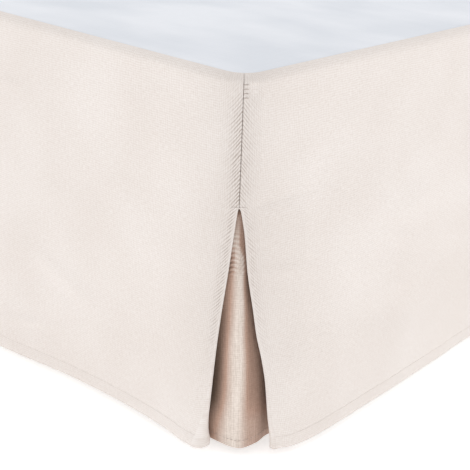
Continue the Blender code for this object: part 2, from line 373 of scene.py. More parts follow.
# What shows on each panel beside the photographed corner
FOOT_CREASES = (
    # run_from, height_from, run_to, height_to, half_width, rise
    Crease(0.300, 0.150, 0.183, 0.106, 0.0120, 0.0016),
    Crease(0.350, 0.322, 0.298, 0.317, 0.0060, 0.0010),
    Crease(0.064, 0.252, 0.050, 0.160, 0.0045, 0.0007),
    Crease(0.042, 0.258, 0.027, 0.165, 0.0040, 0.0006),
    Crease(0.022, 0.262, 0.010, 0.170, 0.0035, 0.0005),
    Crease(0.340, 0.047, 0.236, 0.065, 0.0045, 0.0009),
)
SIDE_CREASES = (
    # run_from, height_from, run_to, height_to, half_width, rise
    Crease(0.080, 0.360, 0.063, 0.120, 0.0130, 0.0018),
    Crease(0.012, 0.208, 0.072, 0.193, 0.0050, 0.0010),
    Crease(0.008, 0.381, 0.010, 0.372, 0.0045, -0.0020),
    Crease(0.171, 0.118, 0.300, 0.078, 0.0220, -0.0022),
    Crease(0.225, 0.215, 0.300, 0.220, 0.0180, 0.0016),
)


@dataclass(frozen=True)
class Relief:
    """The small ups and downs of a panel's front, on top of the way it hangs."""

    creases: tuple[Crease, ...]
    seed: float
    stitch_up: float = HEM_STITCH_UP
    swell: float = 0.0007
    swell_size: float = 0.085
    rumple: float = 0.00018
    rumple_size: float = 0.020
    rumple_seed: float = 7.0
    edge_groove: float = 0.00035
    edge_groove_run: float = 0.0090
    edge_groove_half_width: float = 0.0018
    stitch_groove: float = 0.00020
    stitch_half_width: float = 0.0016

    def at(self, run: np.ndarray, height: np.ndarray) -> np.ndarray:
        """How far the cloth stands out of its smooth hang.

        Args:
            run: Metres along the cloth from the pleat's fold.
            height: Metres above the floor.

        Returns:
            The rise in metres, inward where it is below 0.
        """
        rise = sum(crease.at(run, height) for crease in self.creases)
        rise = rise + self.swell * soft_noise(run, height, self.swell_size, self.seed)
        rise += self.rumple * soft_noise(run, height, self.rumple_size, self.seed + self.rumple_seed)
        above = (height - HEM_LEVEL - self.stitch_up) / self.stitch_half_width
        return rise + self.beside_the_pleat(run, height) - self.stitch_groove * np.exp(-above * above)

    def beside_the_pleat(self, run: np.ndarray, height: np.ndarray) -> np.ndarray:
        """The pressed line just inside the fold, below the seam."""
        off = (run - self.edge_groove_run) / self.edge_groove_half_width
        return -self.edge_groove * (1 - sewn_shut(height)) * np.exp(-off * off)


@dataclass(frozen=True)
class Flap:
    """One panel's cloth beside its corner: its front, its soft fold at the pleat and its return."""

    hem_rows: tuple[tuple[float, float], ...]
    opening_rows: tuple[tuple[float, float], ...]
    hem_along: float
    hem_radius: float
    seam_radius: float = FOLD_RADIUS
    run_step: float = 0.0005

    @property
    def start_angle(self) -> float:
        """How far short of 45 degrees the fold stands on the corner's arc."""
        spare = self.seam_radius + LAYER_GAP / 2
        return math.pi / 4 - math.asin(spare / (CORNER_RADIUS - self.seam_radius))

    def opening(self, height: np.ndarray) -> np.ndarray:
        """How far the pleat has opened: 0 down to the seam's end, 1 at the hem."""
        return soft_curve(self.opening_rows, below_the_seam(height))

    def fold_radius(self, height: np.ndarray) -> np.ndarray:
        """Outer radius of the fold: pressed along the seam, loose at the hem."""
        loosening = self.opening(height) ** 3
        return self.seam_radius + (self.hem_radius - self.seam_radius) * loosening

    def front_place(self, run: np.ndarray, height: np.ndarray) -> np.ndarray:
        """Plan places of the front.

        Args:
            run: Metres along the cloth from its fold.
            height: Metres above the floor.

        Returns:
            How far along from the corner, and how far out, each lies, on the last axis.
        """
        start = self.start_angle
        arc_run = np.minimum(run, CORNER_RADIUS * start)
        turn = start - arc_run / CORNER_RADIUS
        along = CORNER_RADIUS * (1 - np.sin(turn)) + run - arc_run
        out = -CORNER_RADIUS * (1 - np.cos(turn))
        open_share = self.opening(height)
        shift = self.hem_along - CORNER_RADIUS * (1 - math.sin(start))
        shift = shift * np.maximum(1 - run / SHIFT_REACH, 0.0) ** 2
        hang = ((TOP - height) / DROP) ** LEAN_POWER
        lean = open_share + (hang - open_share) * smooth_step(run / LEAN_REACH)
        out_at_hem = soft_curve(self.hem_rows, along + shift)
        return np.stack([along + shift * open_share, out * (1 - open_share) + lean * out_at_hem], -1)

    def front_frame(self, run: np.ndarray, height: np.ndarray) -> tuple[np.ndarray, np.ndarray, np.ndarray]:
        """The front's places, their directions towards the corner, and their directions outward."""
        here = self.front_place(run, height)
        away = self.front_place(run + self.run_step, height) - here
        away /= np.linalg.norm(away, axis=-1, keepdims=True)
        return here, -away, np.stack([-away[..., 1], away[..., 0]], -1)

    def behind_return(self, run: float, height: np.ndarray, gap: float) -> np.ndarray:
        """Plan places just behind the return, run metres along the cloth from the fold."""
        here, _, outward = self.front_frame(np.full(height.shape, run), height)
        return here - outward * (2 * self.fold_radius(height) + gap)[..., None]

    def points(self, columns: Columns, rows: Rows, relief: Relief) -> np.ndarray:
        """Finds the points of the cloth's outer face.

        Args:
            columns: The columns of points.
            rows: The rows of points.
            relief: The cloth's small ups and downs.

        Returns:
            Their places along, out and up, by column and row.
        """
        run, height = np.broadcast_arrays(columns.run[:, None], rows.height[None, :])
        turn = columns.turn[:, None]
        radius = self.fold_radius(height)
        here, corner_way, outward = self.front_frame(run, height)
        inset, up = rows.turned(radius * (1 - np.cos(turn)))
        sideways = radius * np.sin(turn)
        on_roll = (CORNER_RADIUS - inset) / (CORNER_RADIUS - radius)
        sideways = sideways * np.where(rows.rolled, on_roll, 1.0)
        front = np.where(turn > 0, 0.0, run)
        inset = inset - relief.at(front, height) * np.cos(rows.roll)
        place = here + corner_way * sideways[..., None] - outward * inset[..., None]
        return np.concatenate([place, up[..., None]], -1)


FOOT_FLAP = Flap(FOOT_HEM, FOOT_OPENING, hem_along=0.0465, hem_radius=0.0112)
SIDE_FLAP = Flap(SIDE_HEM, SIDE_OPENING, hem_along=0.0505, hem_radius=0.0045)

# Which random swells each panel has beside each corner
FOOT_SEEDS = {Corner.RIGHT: 0.0, Corner.LEFT: 31.0}
SIDE_SEEDS = {Corner.RIGHT: 11.0, Corner.LEFT: 53.0}


def feed(tree: NodeTree, node: Node, inputs: dict[str | int, object]) -> None:
    """Gives each of a node's inputs its value, or links it to the output socket that feeds it."""
    for name, value in inputs.items():
        if isinstance(value, NodeSocket):
            tree.links.new(value, node.inputs[name])
        else:
            node.inputs[name].default_value = value


def add_node(
    tree: NodeTree,
    kind: str,
    settings: dict[str, object] | None = None,
    inputs: dict[str | int, object] | None = None,
) -> Node:
    """Adds a shader node with its settings and its inputs.

    Args:
        tree: The material's node tree.
        kind: The node's type name.
        settings: Values of its own properties.
        inputs: For each input, a value or the output socket that feeds it.

    Returns:
        The new node.
    """
    node = tree.nodes.new(kind)
    for name, value in (settings or {}).items():
        setattr(node, name, value)
    feed(tree, node, inputs or {})
    return node


def new_material(name: str) -> tuple[Material, NodeTree, Node]:
    """Makes a material.

    Args:
        name: Its name.

    Returns:
        The material, its node tree and its Principled shader.
    """
    material = bpy.data.materials.new(name)
    material.use_nodes = True
    return material, material.node_tree, material.node_tree.nodes["Principled BSDF"]


@dataclass(frozen=True)
class WovenCloth:
    """A woven cloth, its threads drawn on the weave UV map, whose unit is a metre, darkened by painted
    shade that two vertex attributes ask for.
    """

    name: str
    pale: str
    deep: str
    pitch: float
    slub_run: float
    mottle_size: tuple[float, float]
    relief: float
    roughness: float
    sheen: float
    slub_share: float = 2.0
    waver: float = 3.0
    waver_scale: float = 0.6
    mottle_share: float = 0.22
    contrast_reach: float = 1.2
    mottle_limits: tuple[float, float] = (0.3, 0.7)
    gather_size: tuple[float, float] = (0.004, 0.006)
    gather_limits: tuple[float, float] = (0.4, 0.9)
    broken_limits: tuple[float, float] = (0.3, 0.6)
    broken_least: float = 0.4
    specular: float = 0.25
    sheen_roughness: float = 0.5
    # Colour of the painted shade in the puckers beside a seam, which dark strokes multiply in
    between: str = "#C3BBB5"
    # Colours that painted shade darkens the cloth towards, at half and at full strength
    painted_shade: str = "#FFFFFF"
    deepest_painted_shade: str = "#FFFFFF"

    def threads(
        self, tree: NodeTree, weave: NodeSocket, axis: str, pitch: float
    ) -> NodeSocket:
        """Adds rows of threads side by side.

        Args:
            tree: The material's node tree.
            weave: The weave's coordinates in metres.
            axis: The axis that they are spread along.
            pitch: From one thread to the next, in metres.

        Returns:
            The socket with their height, from 0 to 1.
        """
        shape = {"Distortion": self.waver, "Detail": 1.0, "Detail Scale": self.waver_scale}
        inputs = {"Vector": weave, "Scale": WAVE_LENGTH / pitch, **shape}
        return add_node(tree, "ShaderNodeTexWave", {"bands_direction": axis}, inputs).outputs["Fac"]

    def patches(
        self, tree: NodeTree, weave: NodeSocket, size: tuple[float, float], detail: float
    ) -> NodeSocket:
        """Adds soft uneven patches.

        Args:
            tree: The material's node tree.
            weave: The weave's coordinates in metres.
            size: Their width and height on the cloth, in metres.
            detail: How broken up they are.

        Returns:
            The socket with their strength, from 0 to 1.
        """
        scale = (1 / size[0], 1 / size[1], 1.0)
        scaled = add_node(tree, "ShaderNodeMapping", inputs={"Vector": weave, "Scale": scale})
        inputs = {"Vector": scaled.outputs[0], "Scale": 1.0, "Detail": detail, "Roughness": 0.5}
        return add_node(tree, "ShaderNodeTexNoise", {"noise_dimensions": "2D"}, inputs).outputs["Fac"]

    def build(self) -> Material:
        """Builds the material.

        Returns:
            The finished material.
        """
        material, tree, shader = new_material(self.name)
        weave = add_node(tree, "ShaderNodeUVMap", {"uv_map": "weave"}).outputs["UV"]
        weft = self.threads(tree, weave, "Y", self.pitch)
        warp = self.threads(tree, weave, "X", self.pitch)
        across = self.patches(tree, weave, (self.slub_run, self.pitch / 2), 1.0)
        upright = self.patches(tree, weave, (self.pitch / 2, self.slub_run), 1.0)
        mottle = self.patches(tree, weave, self.mottle_size, 2.0)
        crossing = add_node(tree, "ShaderNodeMath", {"operation": "ADD"}, {0: weft, 1: warp}).outputs[0]
        slubs = add_node(tree, "ShaderNodeMath", {"operation": "ADD"}, {0: across, 1: upright}).outputs[0]
        weighed = {0: slubs, 1: self.slub_share, 2: crossing}
        with_slubs = add_node(tree, "ShaderNodeMath", {"operation": "MULTIPLY_ADD"}, weighed).outputs[0]
        middle = 1.0 + self.slub_share
        threads, spread, gathers, uneven = (
            add_node(
                tree, "ShaderNodeMapRange", inputs={"Value": value, "From Min": low, "From Max": high, **to}
            ).outputs[0]
            for value, (low, high), to in (
                (with_slubs, (middle - self.contrast_reach, middle + self.contrast_reach), {}),
                (mottle, self.mottle_limits, {"To Max": self.mottle_share}),
                (self.threads(tree, weave, "Y", STITCH), self.gather_limits, {}),
                (
                    self.patches(tree, weave, self.gather_size, 1.0),
                    self.broken_limits,
                    {"To Min": self.broken_least},
                ),
            )
        )
        settings = {"operation": "MULTIPLY_ADD", "use_clamp": True}
        shares = {0: threads, 1: 1 - self.mottle_share, 2: spread}
        shown = add_node(tree, "ShaderNodeMath", settings, shares).outputs[0]
        colours = {"Factor": shown, FIRST: linear(self.deep), SECOND: linear(self.pale)}
        woven = add_node(tree, "ShaderNodeMix", MIX, colours).outputs[MIXED]
        # Painted shade of the puckers where a seam draws the threads up: dark strokes at the stitch pitch,
        # broken into patches
        strokes = add_node(tree, "ShaderNodeAttribute", {"attribute_name": "drawn"}).outputs["Fac"]
        for share in (gathers, uneven):
            both = {0: strokes, 1: share}
            strokes = add_node(tree, "ShaderNodeMath", {"operation": "MULTIPLY"}, both).outputs[0]
        colours = {"Factor": strokes, FIRST: woven, SECOND: linear(self.between)}
        with_pucker_shade = add_node(tree, "ShaderNodeMix", MULTIPLY, colours).outputs[MIXED]
        # Painted shade: a ramp from white to those colours darkens the cloth as far as its attribute asks
        hidden = add_node(tree, "ShaderNodeAttribute", {"attribute_name": "painted_shade"}).outputs["Fac"]
        shade = add_node(tree, "ShaderNodeValToRGB", inputs={"Fac": hidden})
        shade.color_ramp.elements[0].color = linear("#FFFFFF")
        shade.color_ramp.elements[1].color = linear(self.deepest_painted_shade)
        shade.color_ramp.elements.new(0.5).color = linear(self.painted_shade)
        colours = {"Factor": 1.0, FIRST: with_pucker_shade, SECOND: shade.outputs["Color"]}
        raised = {"Height": threads, "Distance": self.relief, "Strength": 1.0}
        finish = {
            "Base Color": add_node(tree, "ShaderNodeMix", MULTIPLY, colours).outputs[MIXED],
            "Normal": add_node(tree, "ShaderNodeBump", inputs=raised).outputs["Normal"],
            "Roughness": self.roughness,
            "Specular IOR Level": self.specular,
            "Sheen Weight": self.sheen,
            "Sheen Roughness": self.sheen_roughness,
        }
        feed(tree, shader, finish)
        return material


@dataclass(frozen=True)
class LacqueredWood:
    """Turned wood under a clear satin lacquer, with its grain upright."""

    name: str
    pale: str
    dark: str
    grain_width: float
    grain_run: float
    roughness: float
    relief: float = 0.0001
    coat: float = 0.4
    coat_roughness: float = 0.25

    def build(self) -> Material:
        """Builds the material.

        Returns:
            The finished material.
        """
        material, tree, shader = new_material(self.name)
        place = add_node(tree, "ShaderNodeTexCoord").outputs["Object"]
        scale = (1 / self.grain_width, 1 / self.grain_width, 1 / self.grain_run)
        stretched = add_node(tree, "ShaderNodeMapping", inputs={"Vector": place, "Scale": scale}).outputs[0]
        inputs = {"Vector": stretched, "Scale": 1.0, "Detail": 4.0, "Roughness": 0.6}
        grain = add_node(tree, "ShaderNodeTexNoise", inputs=inputs).outputs["Fac"]
        colours = {"Factor": grain, FIRST: linear(self.dark), SECOND: linear(self.pale)}
        raised = {"Height": grain, "Distance": self.relief, "Strength": 0.5}
        finish = {
            "Base Color": add_node(tree, "ShaderNodeMix", MIX, colours).outputs[MIXED],
            "Normal": add_node(tree, "ShaderNodeBump", inputs=raised).outputs["Normal"],
            "Roughness": self.roughness,
            "Coat Weight": self.coat,
            "Coat Roughness": self.coat_roughness,
        }
        feed(tree, shader, finish)
        return material


# Polyester woven to look like linen: pale uneven threads with small shadows between them. The real
# pitch of about 0.6 mm is finer than a pixel, so the threads are drawn nearly four times as coarse.
LINEN_LOOK = WovenCloth(
    name="linen_look_weave",
    pale="#ECE6E2",
    deep="#D9CFC8",
    pitch=0.0022,
    slub_run=0.0045,
    mottle_size=(0.110, 0.110),
    relief=0.0001,
    roughness=0.85,
    sheen=0.1,
    # Colour that painted shade beside the seam darkens the cloth towards
    painted_shade="#C9C5C2",
)
# The same cloth as a darker, warmer copy with painted shade for the shade of the pleat, where light that
# has bounced off it turns warm and dim.
LINEN_LOOK_PAINTED_SHADE = replace(
    LINEN_LOOK,
    name="linen_look_weave_painted_shade",
    pale="#EADFD6",
    deep="#CEC0B5",
    pitch=0.0021,
    slub_run=0.006,
    mottle_size=(0.0022, 0.050),
    slub_share=3.5,
    mottle_share=0.4,
    # Its painted shade in the pleat: the half-strength colour and the darkest
    painted_shade="#D0B6AA",
    deepest_painted_shade="#544639",
)
# Bleached percale, close and smooth: a cool white with hardly any thread to see.
PERCALE = WovenCloth(
    name="bleached_percale",
    pale="#EAECF1",
    deep="#D6DAE1",
    pitch=0.0012,
    slub_run=0.040,
    mottle_size=(0.160, 0.090),
    relief=0.00003,
    roughness=0.8,
    sheen=0.05,
    mottle_share=0.6,
)
# Woven polypropylene ticking: a plain grey beige, dull and tightly woven.
TICKING = WovenCloth(
    name="woven_ticking",
    pale="#CFCAC2",
    deep="#A8A39B",
    pitch=0.0020,
    slub_run=0.030,
    mottle_size=(0.120, 0.120),
    relief=0.0002,
    roughness=0.9,
    sheen=0.05,
)
# Spun polyester thread in the cloth's own colour, with a little more shadow in its twist.
THREAD = WovenCloth(
    name="spun_sewing_thread",
    pale="#EAE3DF",
    deep="#D5CBC4",
    pitch=0.0005,
    slub_run=0.004,
    mottle_size=(0.010, 0.010),
    relief=0.00005,
    roughness=0.6,
    sheen=0.1,
)
# The same thread pulled down hard into the pleat's seam, as a darker copy with painted shade for the shadow
# it lies in there.
SEAM_THREAD_PAINTED_SHADE = replace(
    THREAD,
    name="spun_sewing_thread_in_the_seam",
    pale="#C2B4AC",
    deep="#9E9088",
    roughness=0.7,
    sheen=0.05,
)
# Lacquered beech: even pinkish brown with short upright flecks and a soft shine.
BEECH = LacqueredWood(
    name="lacquered_beech",
    pale="#C79B6D",
    dark="#9C7048",
    grain_width=0.004,
    grain_run=0.060,
    roughness=0.45,
)


def add_object(name: str, data: bpy.types.ID) -> Object:
    """Puts a mesh, a lamp or a camera into the scene."""
    made = bpy.data.objects.new(name, data)
    bpy.context.scene.collection.objects.link(made)
    return made


def to_mesh(name: str, shape: BMesh) -> Mesh:
    """Turns a finished shape into a mesh, and frees it."""
    mesh = bpy.data.meshes.new(name)
    shape.to_mesh(mesh)
    shape.free()
    return mesh


def lay_weave(shape: BMesh, place: Callable[[BMLoop], Sequence[float]]) -> None:
    """Smooths a shape's faces and gives them the weave UV map, which place finds for each loop."""
    weave_map = shape.loops.layers.uv.new("weave")
    for face in shape.faces:
        face.smooth = True
        for loop in face.loops:
            loop[weave_map].uv = place(loop)


def add_piece(name: str, shape: BMesh, material: Material) -> Object:
    """Puts a shape into the scene as a piece of the object.

    Args:
        name: The piece's name.
        shape: Its shape, already in place.
        material: Its finish.

    Returns:
        The new object.
    """
    piece = add_object(name, to_mesh(name, shape))
    piece.data.materials.append(material)
    return piece


@dataclass
class Sheet:
    """A sheet of cloth bent from a flat grid, thickened inward, with its hem turned up.

    points and weave give each point's place and its place in the weave, by column and row. marks
    holds more values for the finish: how much painted shade darkens a point in a pleat or beside its
    seam, and how strong the painted shade is in the puckers where a seam draws the threads up.
    """

    name: str
    points: np.ndarray
    weave: np.ndarray
    facing_out: bool = True
    marks: dict[str, np.ndarray] = field(default_factory=dict)
    thickness: float = CLOTH
    hemmed: bool = True

    def build(self, material: Material, slot: str) -> Object:
        """Builds the sheet.

        Args:
            material: Its finish.
            slot: A material slot's name; not used.

        Returns:
            The finished piece.
        """
        columns, rows = self.points.shape[:2]
        grid = bmesh.new()
        bmesh.ops.create_grid(grid, x_segments=columns - 1, y_segments=rows - 1, size=0.5)
        layers = {name: grid.verts.layers.float.new(name) for name in self.marks}
        spots: list[tuple[int, int]] = []
        for index, vert in enumerate(grid.verts):
            vert.index = index
            spot = (round((vert.co.x + 0.5) * (columns - 1)), round((0.5 - vert.co.y) * (rows - 1)))
            spots.append(spot)
            vert.co = self.points[spot]
            for name, layer in layers.items():
                vert[layer] = self.marks[name][spot]
        lay_weave(grid, lambda loop: self.weave[spots[loop.vert.index]])
        if not self.facing_out:
            bmesh.ops.reverse_faces(grid, faces=grid.faces)
        piece = add_piece(self.name, grid, material)
        solid = piece.modifiers.new("Thickness", "SOLIDIFY")
        solid.offset = -1.0
        solid.thickness = self.thickness
        if self.hemmed:
            self.thicken_hem(piece, solid)
        return piece

    def thicken_hem(self, piece: Object, solid: bpy.types.SolidifyModifier) -> None:
        """Makes the turned-up hem as thick as its layers."""
        hem = piece.vertex_groups.new(name="hem")
        hem_top = HEM_LEVEL + HEM_HEIGHT
        hem.add([vert.index for vert in piece.data.vertices if vert.co.z < hem_top], 1.0, "REPLACE")
        solid.thickness = HEM_CLOTH
        solid.vertex_group = hem.name
        solid.thickness_vertex_group = self.thickness / HEM_CLOTH


@dataclass(frozen=True)
class Underlay:
    """The pleat's insert: it bows forward into the opening and lies flat behind both returns."""

    width: float = 0.128
    columns: int = 72
    share_step: float = 0.002
    # Painted shade of the insert's colour, strongest beside and behind the flaps: each depth is how dark it
    # is, each start, end and fade where it begins or ends across the opening
    left_start: float = 0.08
    right_fade: float = 0.21
    edge_start: float = 0.78
    edge_depth: float = 0.12
    edge_fade: float = 0.75
    apex_end: float = 0.20
    apex_depth: float = 0.40
    slit_end: float = 0.045
    slit_depth: float = 0.50
    shade_rows: tuple[tuple[float, ...], ...] = (
        # share of the way down, left_end, left_depth, right_start, right_depth
        (0.00, 0.60, 0.14, 0.40, 0.42),
        (0.14, 0.55, 0.20, 0.42, 0.52),
        (0.20, 0.50, 0.62, 0.72, 0.60),
        (0.30, 0.60, 0.62, 0.66, 0.74),
        (0.42, 0.56, 0.76, 0.62, 0.68),
        (0.55, 0.47, 0.88, 0.56, 0.64),
        (0.78, 0.45, 0.97, 0.50, 0.60),
        (0.90, 0.42, 0.75, 0.48, 0.42),
        (1.00, 0.42, 0.70, 0.48, 0.42),
    )
    wrinkle_middle: float = 0.25
    wrinkle_shade: float = 0.22
    wrinkle_rise: float = 0.0003
    wrinkle_pitch: float = 0.0048
    wrinkle_bend: float = 110.0
    wrinkle_low: float = 0.198
    wrinkle_high: float = 0.250
    wrinkle_fade: float = 0.010
    wrinkle_lost: float = 0.7

    @staticmethod
    def flaps() -> dict[str, Flap]:
        """The solids' two flaps, which the insert hangs behind."""
        return {
            "foot": replace(FOOT_FLAP, seam_radius=SOLID_FOLD_RADIUS),
            "side": replace(SIDE_FLAP, seam_radius=SOLID_FOLD_RADIUS),
        }

    def stations(self, height: np.ndarray) -> np.ndarray:
        """Plan stations at each height, in from the side's face and from the foot's face."""
        flaps = self.flaps()
        down = np.clip(below_the_seam(height), 0.0, 1.0)
        share = (down ** INSERT_FALL)[:, None]
        stations = []
        for behind, run, gap, hem_place in INSERT_STATIONS:
            if behind == "corner":
                reach = CORNER_RADIUS - 2 * SOLID_FOLD_RADIUS - gap
                place = np.full((len(height), 2), CORNER_RADIUS - reach * math.sin(math.pi / 4))
            else:
                along_out = flaps[behind].behind_return(run * RETURN_DEPTH, height, gap)
                place = along_out * (1, -1) if behind == "foot" else along_out[:, ::-1] * (-1, 1)
            if hem_place:
                place = place + (np.array(hem_place) - place) * share
            stations.append(place)
        return np.stack(stations, 1)

    @staticmethod
    def through(places: np.ndarray, values: np.ndarray, reads: np.ndarray) -> np.ndarray:
        """Reads a smooth curve through values whose end slopes are kept straight."""
        known = [2 * places[0] - places[1], *places, 2 * places[-1] - places[-2]]
        held = [2 * values[0] - values[1], *values, 2 * values[-1] - values[-2]]
        return soft_curve(list(zip(known, held)), reads)

    def across(self, shares: np.ndarray, height: np.ndarray) -> tuple[np.ndarray, np.ndarray]:
        """Plan places on the curves through the stations, and their inward directions."""
        places, ways = [], []
        for stations in self.stations(height):
            gaps = np.linalg.norm(np.diff(stations, axis=0), axis=1)
            lengths = np.append(0.0, np.cumsum(gaps))
            step = lengths[-1] * self.share_step
            reads = shares * lengths[-1]
            ahead = np.minimum(reads + step, lengths[-1])
            back = np.maximum(reads - step, 0.0)
            place, ahead_place, back_place = (
                np.stack([self.through(lengths, stations[:, axis], read) for axis in (0, 1)], -1)
                for read in (reads, ahead, back)
            )
            way = ahead_place - back_place
            way /= np.linalg.norm(way, axis=1, keepdims=True)
            places.append(place)
            ways.append(np.stack([way[:, 1], -way[:, 0]], -1))
        return np.stack(places, 1), np.stack(ways, 1)

    def points(self, rows: Rows) -> tuple[np.ndarray, np.ndarray]:
        """Finds the points of the insert's outer face.

        Args:
            rows: The rows of points.

        Returns:
            How far in from the side's face and from the foot's face each lies, and its height; and
            how much painted shade darkens it, standing in for the pleat's shade.
        """
        shares = np.linspace(0.0, 1.0, self.columns + 1)
        depth = 2 * SOLID_FOLD_RADIUS + INSERT_GAP
        place, inward = self.across(shares, rows.height)
        inset, up = rows.turned(np.full((len(shares), len(rows.height)), depth))
        shade = self.painted_shade(place, rows.height)
        off = (shares[:, None] - 0.5) * self.width
        lift = self.wrinkle_rise * self.wrinkles(off, rows.height[None, :])
        place = place + inward * np.where(rows.rolled, inset - depth, -lift)[..., None]
        return np.concatenate([place, up[..., None]], -1), shade

    def wrinkles(self, off: np.ndarray, height: np.ndarray) -> np.ndarray:
        """The small arched wrinkles where the cloth leaves the seam's end, from -1 to 1."""
        inside = smooth_step((height - self.wrinkle_low) / self.wrinkle_fade)
        inside = inside * smooth_step((self.wrinkle_high - height) / self.wrinkle_fade)
        phase = (height + self.wrinkle_bend * off * off) / self.wrinkle_pitch
        return inside * np.sin(2 * math.pi * phase)

    def painted_shade(self, place: np.ndarray, height: np.ndarray) -> np.ndarray:
        """How much painted shade darkens points, standing in for the pleat's shade: 0 in the open, 1 beside
        or behind a flap.
        """
        flaps = self.flaps()
        at_fold = np.zeros(height.shape)
        foot, side = (flaps[name].front_place(at_fold, height) for name in ("foot", "side"))
        foot_radius, side_radius = (flaps[name].fold_radius(height) for name in ("foot", "side"))
        foot_end = np.stack([foot[:, 0] - foot_radius, -foot[:, 1]], -1)
        side_end = np.stack([-side[:, 1], side[:, 0] - side_radius], -1)
        way = side_end - foot_end
        share = ((place - foot_end) * way).sum(-1) / (way * way).sum(-1)
        down = np.clip(below_the_seam(height), 0.0, 1.0)
        shares_down, *columns = zip(*self.shade_rows)
        left_end, left_depth, right_start, right_depth = (
            soft_curve(list(zip(shares_down, column)), down) for column in columns
        )
        left = left_depth * (1 - smooth_step((share - self.left_start) / (left_end - self.left_start)))
        right = right_depth * smooth_step((share - right_start) / self.right_fade)
        far_edge = self.edge_depth * smooth_step((share - self.edge_start) / self.right_fade)
        far_edge = far_edge * (1 - smooth_step((down - self.edge_fade) / (1 - self.edge_fade)))
        apex = self.apex_depth * (1 - smooth_step(down / self.apex_end))
        apex = apex + self.slit_depth * (1 - smooth_step(down / self.slit_end))
        # Painted light and shade of the small arched wrinkles: lighter where they rise, darker where they
        # sink
        lifts = self.wrinkles((share - self.wrinkle_middle) * np.linalg.norm(way, axis=1), height)
        lifts = lifts * (1 - self.wrinkle_lost * smooth_step((share - right_start) / self.right_fade))
        shade = np.maximum(left + right + far_edge, apex) - self.wrinkle_shade * lifts
        return np.clip(shade, 0.0, 1.0)


@dataclass
class StitchLine:
    """A row of sewn stitches, each a small round-ended length of thread lying on the cloth."""

    name: str
    length: float = 0.0026
    width: float = 0.0005
    height: float = 0.0003
    around: int = 6
    along: int = 4
    batch: int = 40

    def build(
        self, middles: np.ndarray, ways: np.ndarray, outwards: np.ndarray, material: Material
    ) -> Object:
        """Builds the stitches as one joined mesh.

        Args:
            middles: Each one's middle.
            ways: Each one's direction.
            outwards: Each one's direction away from the cloth.
            material: The thread's finish.

        Returns:
            The finished piece.
        """
        sewn = bmesh.new()
        upright = Matrix.Rotation(math.pi / 2, 4, "Y")
        size = Matrix.Diagonal((self.length / 2, self.width / 2, self.height, 1.0))
        for first in range(0, len(middles), self.batch):
            few = bmesh.new()
            for index in range(first, min(first + self.batch, len(middles))):
                way, outward = Vector(ways[index]), Vector(outwards[index])
                across = outward.cross(way).normalized()
                turn = Matrix((way, across, way.cross(across))).transposed().to_4x4()
                bmesh.ops.create_uvsphere(
                    few,
                    u_segments=self.around,
                    v_segments=self.along,
                    radius=1.0,
                    matrix=Matrix.Translation(middles[index]) @ turn @ size @ upright,
                )
            some = to_mesh(self.name, few)
            sewn.from_mesh(some)
            bpy.data.meshes.remove(some)
        lay_weave(sewn, lambda loop: (loop.vert.co.x + loop.vert.co.y, loop.vert.co.z))
        return add_piece(self.name, sewn, material)


